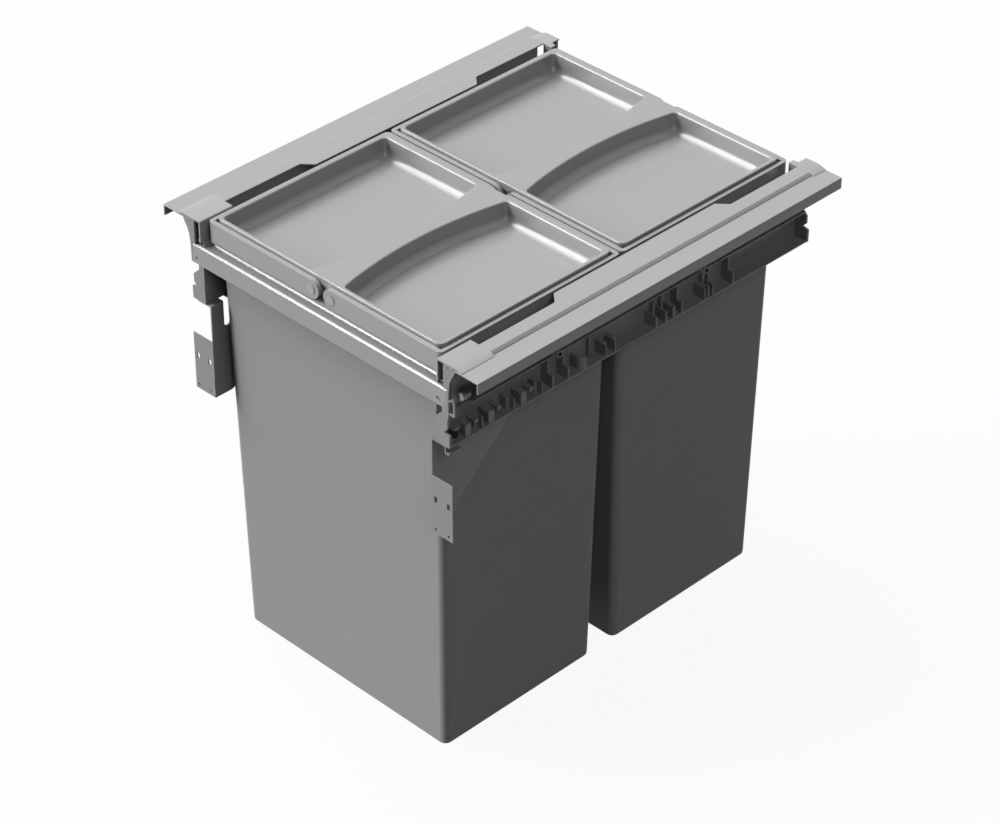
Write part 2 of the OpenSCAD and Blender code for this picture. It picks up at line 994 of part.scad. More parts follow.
// Rings of the tapered bin shell, from the foot to the neck
function bin_rings(inset, low, high, fillet) = [
    for (k = [0:foot_steps])
        let (
            a = 90 * k / foot_steps,
            z = low + fillet * (1 - cos(a)),
            d = inset + fillet * (1 - sin(a))
        )
        pad_ring(foot_half_x - d, foot_half_y - d,
            max(bin_corner - d, bin_corner / 4), z),
    pad_ring(neck_half_x - inset, neck_half_y - inset, bin_corner - inset, hat_top),
    pad_ring(neck_half_x - inset, neck_half_y - inset, bin_corner - inset, high)
];

module bin(y) {
    color(shell_grey)
        seat()
            translate([0, y, 0])
                difference() {
                    loft(bin_rings(0, -bin_drop, neck_top, foot_fillet));
                    loft(bin_rings(bin_wall, base_t - bin_drop, neck_top + over,
                        foot_fillet));
                }
}

// Ledge round the neck, by which a bin hangs on the frame
module bin_ledge(y) {
    color(shell_grey)
        seat()
            translate([0, y, ledge_top - ledge_t])
                linear_extrude(ledge_t)
                    difference() {
                        pad(ring_half_x, ring_half_y, ledge_corner);
                        polygon([
                            for (p = pad_ring(neck_half_x, neck_half_y, bin_corner, 0))
                                [p[0], p[1]]
                        ]);
                    }
}

// Hinge pins of one bin, from the neck through the handle ends
module bin_pins(y) {
    color(steel)
        seat()
            for (sx = [-1, 1], sy = [0, 1])
                translate([sx * hinge_x, y, hinge_z])
                    mirror([0, sy, 0])
                        rotate([90, 0, 0]) {
                            translate([0, 0, neck_half_y])
                                cylinder(r = boss_r, h = ring_gap_y - run_gap);
                            translate([0, 0, neck_half_y])
                                cylinder(r = pin_r,
                                    h = ring_half_y - neck_half_y + pin_head_gap);
                            translate([0, 0, ring_half_y + pin_head_gap])
                                cylinder(r = pin_head_r, h = pin_head_t);
                        }
}

// Right half of the ring round the bin neck, hinged near the middle: the grip
// alone, or one of its two arms (end -1 in front, 1 behind)
module handle(y, left, end) {
    side_in = ring_half_x - strap_side;
    color(lid_grey)
        seat()
            translate([0, y, 0])
                mirror([left ? 1 : 0, 0, 0])
                    difference() {
                        intersection() {
                            translate([0, 0, ring_low])
                                linear_extrude(strap_height)
                                    difference() {
                                        pad(ring_half_x, ring_half_y, ring_corner);
                                        pad(ring_half_x - strap_side,
                                            ring_half_y - strap_end, ring_inner_corner);
                                    }
                            if (end == 0)
                                block([side_in, -ring_half_y - over, ring_low - over],
                                    [ring_half_x + over, ring_half_y + over,
                                        ring_low + strap_height + over]);
                            else
                                mirror([0, end > 0 ? 1 : 0, 0])
                                    along_y(-ring_half_y - over, 0) {
                                        translate([hinge_x, hinge_z])
                                            circle(ring_r);
                                        translate([hinge_x, ring_low])
                                            square([side_in - hinge_x, strap_height]);
                                    }
                        }
                        translate([hinge_x, ring_half_y + over, hinge_z])
                            rotate([90, 0, 0])
                                cylinder(r = pin_r + pin_play,
                                    h = 2 * ring_half_y + 2 * over);
                    }
}

// Points of a dish outline: three straight sides, and an arc at the ridge.
// A positive inset draws the outline smaller.
function dish_ring(inset, z) =
    let (
        r = max(dish_r - inset, corner_least),
        cy = dish_half_y - inset - r,
        cx = dish_out - inset - r,
        reach = arc_r - inset - r,
        fx = arc_x - sqrt(reach * reach - cy * cy),
        phi = asin(cy / reach)
    )
    concat(
        [for (k = [0:dish_steps]) let (a = 90 * k / dish_steps)
            [cx + r * cos(a), cy + r * sin(a), z]],
        [for (k = [0:dish_steps]) let (a = 90 + (90 - phi) * k / dish_steps)
            [fx + r * cos(a), cy + r * sin(a), z]],
        [for (k = [1:arc_steps - 1]) let (a = 180 - phi + 2 * phi * k / arc_steps)
            [arc_x + (arc_r - inset) * cos(a), (arc_r - inset) * sin(a), z]],
        [for (k = [0:dish_steps]) let (a = 180 + phi + (90 - phi) * k / dish_steps)
            [fx + r * cos(a), -cy + r * sin(a), z]],
        [for (k = [0:dish_steps]) let (a = 270 + 90 * k / dish_steps)
            [cx + r * cos(a), -cy + r * sin(a), z]]
    );

// Rings of a dish from its floor to above the lid, thickened by a wall
function dish_rings(wall, top) =
    let (floor_z = lid_top - dish_depth, cz = floor_z + dish_fillet)
    concat(
        [for (k = [dish_steps:-1:0]) let (a = 90 * k / dish_steps)
            dish_ring(dish_lean + dish_fillet - (dish_fillet + wall) * cos(a),
                cz - (dish_fillet + wall) * sin(a))],
        [dish_ring(-wall, lid_top - lid_plate / 2), dish_ring(-wall, top)]
    );

module lid(y) {
    under = lid_top - lid_plate;
    color(lid_grey)
        seat()
            translate([0, y, 0])
                difference() {
                    union() {
                        translate([0, 0, under])
                            linear_extrude(lid_plate - lid_edge)
                                pad(lid_half_x, lid_half_y, lid_corner);
                        translate([0, 0, lid_top - lid_edge])
                            linear_extrude(lid_edge)
                                pad(lid_half_x - lid_edge / 2,
                                    lid_half_y - lid_edge / 2, lid_corner);
                        translate([0, 0, under - skirt_drop])
                            linear_extrude(skirt_drop)
                                difference() {
                                    pad(lid_half_x, lid_half_y, lid_corner);
                                    pad(lid_half_x - skirt_t, lid_half_y - skirt_t,
                                        lid_corner);
                                }
                        for (s = [0, 1])
                            mirror([s, 0, 0])
                                translate([0, dish_shift, 0])
                                    loft(dish_rings(dish_wall, lid_top - lid_edge));
                    }
                    for (s = [0, 1])
                        mirror([s, 0, 0])
                            translate([0, dish_shift, 0])
                                loft(dish_rings(0, lid_top + over));
                }
}

cabinet_rail(true);  // cabinet_rail_left
cabinet_rail(false);  // cabinet_rail_right
middle_rail(true);  // middle_rail_left
middle_rail(false);  // middle_rail_right
ball_cage(true);  // ball_cage_left
ball_cage(false);  // ball_cage_right
drawer_rail(true);  // drawer_rail_left
drawer_rail(false);  // drawer_rail_right
cover_carrier(true);  // cover_carrier_left
cover_carrier(false);  // cover_carrier_right
side_channel(true);  // side_channel_left
side_channel(false);  // side_channel_right
clip_insert(true);  // clip_insert_left
clip_insert(false);  // clip_insert_right
outer_cover(true);  // outer_cover_left
outer_cover(false);  // outer_cover_right
inner_cover(true);  // inner_cover_left
inner_cover(false);  // inner_cover_right
front_cap(true);  // front_cap_left
front_cap(false);  // front_cap_right
rear_cap(true);  // rear_cap_left
rear_cap(false);  // rear_cap_right
front_plate(true);  // front_plate_left
front_plate(false);  // front_plate_right
rear_plate(true);  // rear_plate_left
rear_plate(false);  // rear_plate_right
front_cross_bar();
rear_cross_bar();
panel_bracket(true);  // panel_bracket_left
panel_bracket(false);  // panel_bracket_right
latch_lever();
stop_roller();
bin(first_bin);  // front_bin
bin(second_bin);  // rear_bin
bin_ledge(first_bin);  // front_bin_ledge
bin_ledge(second_bin);  // rear_bin_ledge
bin_pins(first_bin);  // front_bin_pins
bin_pins(second_bin);  // rear_bin_pins
lid(first_bin);  // front_lid
lid(second_bin);  // rear_lid
handle(first_bin, true, 0);  // front_handle_left_grip
handle(first_bin, false, 0);  // front_handle_right_grip
handle(first_bin, true, -1);  // front_handle_left_arm_a
handle(first_bin, false, -1);  // front_handle_right_arm_a
handle(first_bin, true, 1);  // front_handle_left_arm_b
handle(first_bin, false, 1);  // front_handle_right_arm_b
handle(second_bin, true, 0);  // rear_handle_left_grip
handle(second_bin, false, 0);  // rear_handle_right_grip
handle(second_bin, true, -1);  // rear_handle_left_arm_a
handle(second_bin, false, -1);  // rear_handle_right_arm_a
handle(second_bin, true, 1);  // rear_handle_left_arm_b
handle(second_bin, false, 1);  // rear_handle_right_arm_b
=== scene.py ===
"""Looks, light and camera of the pull-out waste unit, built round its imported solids.

Lengths in the classes are millimetres unless a name says otherwise, in the
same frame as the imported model: +Z up, the front faces -Y, the origin on the
ground under the middle of the unit.
"""

import json
import logging
import math
from dataclasses import dataclass
from enum import Enum

import bmesh
import bpy
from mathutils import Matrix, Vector

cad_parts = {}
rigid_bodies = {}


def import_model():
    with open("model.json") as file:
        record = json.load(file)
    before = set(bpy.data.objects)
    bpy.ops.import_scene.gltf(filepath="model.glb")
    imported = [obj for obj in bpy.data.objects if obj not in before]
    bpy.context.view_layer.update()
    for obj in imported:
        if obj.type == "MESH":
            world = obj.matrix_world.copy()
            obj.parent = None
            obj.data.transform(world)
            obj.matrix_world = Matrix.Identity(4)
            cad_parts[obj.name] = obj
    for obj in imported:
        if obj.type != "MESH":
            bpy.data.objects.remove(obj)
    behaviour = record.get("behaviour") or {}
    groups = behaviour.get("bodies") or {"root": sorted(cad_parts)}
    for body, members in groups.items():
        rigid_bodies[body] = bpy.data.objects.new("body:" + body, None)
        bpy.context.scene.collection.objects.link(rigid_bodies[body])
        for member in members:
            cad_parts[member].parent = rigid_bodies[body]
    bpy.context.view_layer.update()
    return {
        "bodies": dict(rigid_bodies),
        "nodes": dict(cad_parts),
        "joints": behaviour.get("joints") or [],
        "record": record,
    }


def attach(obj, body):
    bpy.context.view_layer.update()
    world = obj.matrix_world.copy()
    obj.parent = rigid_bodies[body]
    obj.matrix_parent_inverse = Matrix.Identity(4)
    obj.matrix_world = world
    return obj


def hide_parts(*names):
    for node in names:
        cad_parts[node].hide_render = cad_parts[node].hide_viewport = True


LOG = logging.getLogger("waste_unit")
MM = 0.001
SIDES = ("left", "right")
# Place of each bin's middle along Y
MIDDLE_OF_BIN = {"front": -119.25, "rear": 111.75}
# Part of the light that a surface passes on to the next one: the photograph's
# studio leaves gaps and slots dark
# Painted shade: every material shows bounce rays its colour cut to this share, which keeps
# gaps and slots dark
BOUNCE_SHARE = 0.3
# Sockets of Blender's Mix node: its two colours and its result
MIX_FIRST, MIX_SECOND, MIX_RESULT = 6, 7, 2
# Points nearer to each other than this are one point
WELD = 0.001
# Angles between two faces, in degrees: below the first they are one face, above
# the second their edge is rounded, and above the third it is shaded as a corner
ONE_FACE, ROUNDED_EDGE, SHADED_CORNER = 0.6, 32, 50


def linear(colour: str) -> tuple[float, float, float, float]:
    """Turns an sRGB hex colour into linear red, green, blue and alpha.

    Args:
        colour: Six hex digits after a hash sign.

    Returns:
        The linear colour with full alpha.
    """
    parts = [int(colour[i : i + 2], 16) / 255 for i in (1, 3, 5)]
    curve = [c / 12.92 if c <= 0.04045 else ((c + 0.055) / 1.055) ** 2.4 for c in parts]
    return (*curve, 1.0)


def add_node(
    tree: bpy.types.NodeTree,
    kind: str,
    settings: dict | None = None,
    values: dict | None = None,
    links: dict | None = None,
) -> bpy.types.Node:
    """Adds a shader node with its settings, socket values and incoming links.

    Args:
        tree: Node tree that takes the node.
        kind: Blender's name of the node type.
        settings: Attribute name to value.
        values: Input socket name or index to constant value.
        links: Input socket name or index to the output socket that feeds it.

    Returns:
        The new node.
    """
    node = tree.nodes.new(kind)
    for name, value in (settings or {}).items():
        setattr(node, name, value)
    for socket, value in (values or {}).items():
        node.inputs[socket].default_value = value
    for socket, source in (links or {}).items():
        tree.links.new(source, node.inputs[socket])
    return node


def noise(
    tree: bpy.types.NodeTree,
    place: bpy.types.NodeSocket,
    size_mm: float,
    detail: float,
    roughness: float,
) -> bpy.types.NodeSocket:
    """Adds a noise pattern of a real size.

    Args:
        tree: Node tree that takes the pattern.
        place: Socket with the Object coordinates.
        size_mm: Width of one cell.
        detail: How many finer layers are added.
        roughness: How strong the finer layers are.

    Returns:
        A socket with the pattern's height.
    """
    return add_node(
        tree,
        "ShaderNodeTexNoise",
        values={"Scale": 1 / (size_mm * MM), "Detail": detail, "Roughness": roughness},
        links={"Vector": place},
    ).outputs["Fac"]


def round_edges(
    mesh: bmesh.types.BMesh, edges: list[bmesh.types.BMEdge], width: float, segments: int
) -> None:
    """Rounds some edges of a mesh.

    Args:
        mesh: Mesh that holds the edges.
        edges: Edges to round.
        width: Width of the rounding.
        segments: Number of strips across it.
    """
    bmesh.ops.bevel(
        mesh,
        geom=edges,
        offset=width * MM,
        offset_type="OFFSET",
        affect="EDGES",
        segments=segments,
        profile=0.5,
        clamp_overlap=True,
        material=-1,
    )


class Edge(Enum):
    """How far the edges of a piece are rounded, in millimetres."""

    SHEET = 0.35
    MOULDED = 0.5
    THIN = 0.2
    RAIL = 0.15


@dataclass(frozen=True)
class Finish:
    """A surface finish: colour, gloss, grain and slow unevenness."""

    name: str
    colour: str
    shade: str
    roughness: float
    roughness_spread: float
    specular: float
    grain_mm: float
    grain_depth_mm: float
    cloud_mm: float
    # The middle part of the grain's heights, which the roughness follows
    grain_low: float = 0.3
    grain_high: float = 0.7

    def material(self) -> bpy.types.Material:
        """Builds the node material of this finish.

        Returns:
            The material, which reads Object coordinates.
        """
        made = bpy.data.materials.new(self.name)
        made.use_nodes = True
        tree = made.node_tree
        tree.nodes.clear()
        place = add_node(tree, "ShaderNodeTexCoord").outputs["Object"]
        cloud = noise(tree, place, self.cloud_mm, detail=3.0, roughness=0.55)
        tone = add_node(
            tree,
            "ShaderNodeMix",
            settings={"data_type": "RGBA"},
            values={MIX_FIRST: linear(self.shade), MIX_SECOND: linear(self.colour)},
            links={0: cloud},
        ).outputs[MIX_RESULT]
        # Painted shade: rays that bounce off the surface see a darker colour, so less light
        # reaches gaps and slots
        bounced = add_node(tree, "ShaderNodeLightPath").outputs["Is Diffuse Ray"]
        painted_bounce_shade = [c * BOUNCE_SHARE for c in linear(self.shade)[:3]]
        tone = add_node(
            tree,
            "ShaderNodeMix",
            settings={"data_type": "RGBA"},
            values={MIX_SECOND: (*painted_bounce_shade, 1.0)},
            links={0: bounced, MIX_FIRST: tone},
        ).outputs[MIX_RESULT]
        grain = noise(tree, place, self.grain_mm, detail=2.0, roughness=0.6)
        rough = add_node(
            tree,
            "ShaderNodeMapRange",
            values={
                "From Min": self.grain_low,
                "From Max": self.grain_high,
                "To Min": self.roughness - self.roughness_spread,
                "To Max": self.roughness + self.roughness_spread,
            },
            links={"Value": grain},
        ).outputs["Result"]
        bump = add_node(
            tree,
            "ShaderNodeBump",
            values={"Strength": 1.0, "Distance": self.grain_depth_mm * MM},
            links={"Height": grain},
        ).outputs["Normal"]
        shader = add_node(
            tree,
            "ShaderNodeBsdfPrincipled",
            values={"Specular IOR Level": self.specular},
            links={"Base Color": tone, "Roughness": rough, "Normal": bump},
        )
        self.tune(shader)
        add_node(
            tree, "ShaderNodeOutputMaterial", links={"Surface": shader.outputs["BSDF"]}
        )
        return made

    def tune(self, shader: bpy.types.Node) -> None:
        """Leaves the shader as it is: a finish with more to say overrides this.

        Args:
            shader: The finish's main shader node.
        """


@dataclass(frozen=True)
class MetalFinish(Finish):
    """A bare or plated metal surface."""

    metallic: float = 1.0

    def tune(self, shader: bpy.types.Node) -> None:
        """Makes the shader a metal.

        Args:
            shader: The finish's main shader node.
        """
        shader.inputs["Metallic"].default_value = self.metallic


# Satin powder coating on steel sheet: an even grey with a fine orange peel
# that breaks the sheen. The peel's cells are about a millimetre wide.
POWDER_COAT = Finish(
    "satin_powder_coating", "#AAA9AA", "#A7A6A7", 0.25, 0.02, 0.2, 1.1, 0.0008, 70
)
# The same coating on the cross bars, with a clear sheen and hardly any peel: the
# photograph shows a sharp bright line along the rolled edge of the front one
BAR_COAT = Finish(
    "flowed_powder_coating", "#A9A8A9", "#A6A5A6", 0.17, 0.01, 1.0, 1.1, 0.0002, 70
)
# The coating of the covers, a little lighter
COVER_COAT = Finish(
    "cover_powder_coating", "#B9B9B9", "#B5B5B5", 0.34, 0.04, 0.35, 1.3, 0.003, 90
)
# Polypropylene moulded in an etched tool: dull, with a grain of about half a
# millimetre, drawn at 0.8 mm so that it shows
BIN_PLASTIC = Finish(
    "etched_polypropylene", "#B7B6B7", "#B3B2B3", 0.42, 0.05, 0.08, 0.8, 0.006, 60
)
# Polypropylene lids and handles from a finer tool: much silkier than the bins
LID_PLASTIC = Finish(
    "silk_polypropylene", "#B3B2B2", "#B0AFAF", 0.2, 0.03, 0.75, 0.8, 0.0015, 80
)
# Moulded ABS end caps, matched to the covers
CAP_PLASTIC = Finish(
    "satin_abs", "#BABABA", "#B6B6B6", 0.33, 0.04, 0.5, 0.9, 0.004, 40
)
# Glass-filled polyamide of the clip insert: duller than the lids
INSERT_PLASTIC = Finish(
    "glass_filled_polyamide", "#A8A6A6", "#A3A1A1", 0.5, 0.06, 0.3, 0.7, 0.006, 20
)
# Acetal roller and pins: dense, slightly waxy plastic
ACETAL = Finish("waxy_acetal", "#C2C1C1", "#BDBCBC", 0.3, 0.03, 0.5, 0.9, 0.004, 12)
# Zinc plate on cold-rolled slide members: soft metal, faintly clouded. Its colour is drawn
# dark as painted shade, for the slides sit in shadow under the covers
ZINC_PLATE = MetalFinish(
    "zinc_plated_steel", "#4A4B4E", "#424346", 0.5, 0.05, 0.5, 1.2, 0.002, 9
)

FINISH_OF_SLOT = {
    "coated_steel": POWDER_COAT,
    "cover_coating": COVER_COAT,
    "rail_steel": ZINC_PLATE,
    "cap_plastic": CAP_PLASTIC,
    "insert_plastic": INSERT_PLASTIC,
    "roller_plastic": ACETAL,
    "pin_plastic": ACETAL,
    "bin_plastic": BIN_PLASTIC,
    "lid_plastic": LID_PLASTIC,
    "handle_plastic": LID_PLASTIC,
}
# Pieces whose finish differs from that of their slot
FINISH_OF_NODE = {"front_cross_bar": BAR_COAT, "rear_cross_bar": BAR_COAT}


class Workshop:
    """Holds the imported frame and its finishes, and makes pieces for it."""

    # How much large faces keep their own shading beside small ones, up to 100
    flat_weight = 80

    def __init__(self, frame: dict) -> None:
        """Reads the frame.
        """
        self.nodes = frame["nodes"]
        record = frame["record"]
        self.slot_of = {s["node"]: s["material_slot"] for s in record["subparts"]}
        self.body_of = {
            node: body
            for body, members in record["behaviour"]["bodies"].items()
            for node in members
        }
        used = {**FINISH_OF_SLOT, **FINISH_OF_NODE}
        self.materials = {f.name: f.material() for f in set(used.values())}

    def finish(self, node: str) -> bpy.types.Material:
        """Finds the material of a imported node, which is mostly its slot's.

        Args:
            node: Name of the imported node.

        Returns:
            The material.
        """
        own = FINISH_OF_NODE.get(node, FINISH_OF_SLOT[self.slot_of[node]])
        return self.materials[own.name]

    def dress(self, node: str) -> bpy.types.Object:
        """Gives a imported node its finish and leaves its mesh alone.

        Args:
            node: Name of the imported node.

        Returns:
            The node's object.
        """
        piece = self.nodes[node]
        piece.data.materials.clear()
        piece.data.materials.append(self.finish(node))
        LOG.info("dressed %s", node)
        return piece

    def soften(self, node: str, edge: Edge, shortest: float = 1.0) -> bpy.types.Object:
        """Stands a round-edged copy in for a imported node.

        Args:
            node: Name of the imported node.
            edge: How far its edges are rounded.
            shortest: Edges shorter than this stay sharp.

        Returns:
            The new piece.
        """
        mesh = bmesh.new()
        mesh.from_mesh(self.nodes[node].data)
        bmesh.ops.remove_doubles(mesh, verts=mesh.verts, dist=WELD * MM)
        bmesh.ops.dissolve_limit(
            mesh,
            angle_limit=math.radians(ONE_FACE),
            use_dissolve_boundaries=False,
            verts=mesh.verts,
            edges=mesh.edges,
            delimit=set(),
        )
        sharp = [
            e
            for e in mesh.edges
            if e.is_manifold
            and e.calc_face_angle(0) > math.radians(ROUNDED_EDGE)
            and e.calc_length() > shortest * MM
        ]
        round_edges(mesh, sharp, edge.value, segments=2)
        piece = self.piece(f"{node}_skin", mesh, self.body_of[node], self.finish(node))
        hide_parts(node)
        return piece

    def piece(
        self, name: str, mesh: bmesh.types.BMesh, body: str, finish: bpy.types.Material
    ) -> bpy.types.Object:
        """Turns a finished bmesh into an object that rides on a body.

        Args:
            name: Name of the piece.
            mesh: Its bmesh in metres, freed here.
            body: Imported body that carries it.
            finish: Its material.

        Returns:
            The new object, smooth shaded with flat faces kept flat.
        """
        data = bpy.data.meshes.new(name)
        for face in mesh.faces:
            face.smooth = True
        mesh.to_mesh(data)
        mesh.free()
        data.set_sharp_from_angle(angle=math.radians(SHADED_CORNER))
        data.materials.append(finish)
        made = bpy.data.objects.new(name, data)
        bpy.context.scene.collection.objects.link(made)
        weight = made.modifiers.new("flat_faces", "WEIGHTED_NORMAL")
        weight.mode = "FACE_AREA"
        weight.weight = self.flat_weight
        weight.keep_sharp = True
        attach(made, body)
        LOG.info("built %s with %d faces", name, len(data.polygons))
        return made


@dataclass
class SideDeck:
    """Covers, caps, channel and slides of both sides."""

    shop: Workshop
    shortest_rail_edge: float = 3.0

    def build(self) -> None:
        """Dresses every piece of both sides."""
        for side in SIDES:
            for node in ("outer_cover", "inner_cover", "side_channel", "cover_carrier"):
                self.shop.soften(f"{node}_{side}", Edge.SHEET)
            for node in ("front_cap", "rear_cap", "clip_insert"):
                self.shop.soften(f"{node}_{side}", Edge.THIN)
            for node in ("cabinet_rail", "middle_rail", "drawer_rail"):
                self.shop.soften(f"{node}_{side}", Edge.RAIL, self.shortest_rail_edge)
            self.shop.dress(f"ball_cage_{side}")


@dataclass
class FrontGear:
    """End plates, cross bars, panel brackets, lever and roller."""

    shop: Workshop
    shortest_lever_edge: float = 0.5
    shortest_roller_edge: float = 0.3

    def build(self) -> None:
        """Dresses the steel pieces at the ends of the frame."""
        for side in SIDES:
            for node in ("front_plate", "rear_plate", "panel_bracket"):
                self.shop.soften(f"{node}_{side}", Edge.THIN)
        self.shop.soften("front_cross_bar", Edge.THIN)
        self.shop.soften("rear_cross_bar", Edge.SHEET)
        self.shop.soften("latch_lever", Edge.THIN, self.shortest_lever_edge)
        self.shop.soften("stop_roller", Edge.MOULDED, self.shortest_roller_edge)


def turn(
    centre: tuple[float, float], radius: float, start: float, stop: float, steps: int
) -> list[tuple[float, float]]:
    """Lists points on an arc.

    Args:
        centre: Centre of the arc.
        radius: Its radius.
        start: First angle in degrees.
        stop: Last angle in degrees.
        steps: Number of pieces.

    Returns:
        Points from the first angle to the last.
    """
    angles = [math.radians(start + (stop - start) * k / steps) for k in range(steps + 1)]
    return [
        (centre[0] + radius * math.cos(a), centre[1] + radius * math.sin(a)) for a in angles
    ]


def skin(mesh: bmesh.types.BMesh, rings: list[list], closed: bool = True) -> list[list]:
    """Joins rings of points with strips of faces.

    Args:
        mesh: Mesh that takes the faces.
        rings: Rings with equal point counts, in millimetres.
        closed: Whether each ring runs back to its first point.

    Returns:
        The vertices of every ring.
    """
    rows = [[mesh.verts.new(Vector(p) * MM) for p in ring] for ring in rings]
    count = len(rows[0])
    for low, high in zip(rows, rows[1:]):
        for i in range(count if closed else count - 1):
            j = (i + 1) % count
            mesh.faces.new((low[i], low[j], high[j], high[i]))
    return rows


@dataclass
class Handle:
    """Half of the ring round a bin neck: a flat strap with round hinge ends."""

    shop: Workshop
    place: str
    side: str
    middle_y: float
    half_x: float = 153.9
    half_y: float = 114.6
    strap_side: float = 4.2
    strap_end: float = 5.0
    corner: float = 5.0
    inner_corner: float = 0.5
    hinge_x: float = 13.0
    hinge_z: float = 458.3
    end_radius: float = 10.0
    outer_round: float = 1.2
    inner_round: float = 0.35
    end_steps: int = 12
    corner_steps: int = 8
    # Edges that turn more than this are rims, in degrees
    rim_angle: float = 60

    def stations(self) -> list[tuple]:
        """Lists outer point, inner point and half height along one arm.

        Returns:
            One entry for each stop, from the hinge to the side strap.
        """
        tip = [
            (self.hinge_x - self.end_radius * math.cos(t), self.end_radius * math.sin(t))
            for t in (math.pi / 2 * k / self.end_steps for k in range(self.end_steps + 1))
        ]
        arm = [
            ((x, -self.half_y), (x, self.strap_end - self.half_y), high) for x, high in tip
        ]
        outer = turn(
            (self.half_x - self.corner, self.corner - self.half_y),
            self.corner, 270, 360, self.corner_steps,
        )
        inner = turn(
            (
                self.half_x - self.strap_side - self.inner_corner,
                self.strap_end + self.inner_corner - self.half_y,
            ),
            self.inner_corner, 270, 360, self.corner_steps,
        )
        return arm + [(a, b, self.end_radius) for a, b in zip(outer, inner)]

    def build(self) -> bpy.types.Object:
        """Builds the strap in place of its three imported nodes.

        Returns:
            The new piece.
        """
        front = self.stations()
        rear = [((a[0], -a[1]), (b[0], -b[1]), high) for a, b, high in reversed(front)]
        sign = -1 if self.side == "left" else 1
        path = front + rear
        runs = []
        for pick, way in ((0, -1), (0, 1), (1, 1), (1, -1)):
            runs.append(
                [
                    (
                        sign * stop[pick][0],
                        self.middle_y + stop[pick][1],
                        self.hinge_z + way * stop[2],
                    )
                    for stop in path
                ]
            )
        mesh = bmesh.new()
        rows = skin(mesh, runs + [runs[0]], closed=False)
        for first, last in zip(rows[0], rows[-1]):
            last.co = first.co
        bmesh.ops.remove_doubles(mesh, verts=mesh.verts, dist=WELD * MM)
        bmesh.ops.recalc_face_normals(mesh, faces=mesh.faces)
        for inner, width in ((False, self.outer_round), (True, self.inner_round)):
            self.round_rims(mesh, inner, width)
        body = f"{self.place}_handle_{self.side}"
        grip = f"{body}_grip"
        made = self.shop.piece(
            f"{body}_strap", mesh, self.shop.body_of[grip], self.shop.finish(grip)
        )
        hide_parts(grip, f"{body}_arm_a", f"{body}_arm_b")
        return made

    def round_rims(self, mesh: bmesh.types.BMesh, inner: bool, width: float) -> None:
        """Rounds the rims of the strap's outer or inner face.

        Args:
            mesh: Mesh of the strap.
            inner: Whether the inner face's rims are meant.
            width: Width of the rounding.
        """
        rims = []
        for edge in mesh.edges:
            turned = edge.calc_face_angle(0)
            if not edge.is_manifold or turned < math.radians(self.rim_angle):
                continue
            middle = (edge.verts[0].co + edge.verts[1].co) / (2 * MM)
            depth = min(
                self.half_x - abs(middle.x), self.half_y - abs(middle.y - self.middle_y)
            )
            if (depth > self.strap_side / 2) == inner:
                rims.append(edge)
        round_edges(mesh, rims, width, segments=3)


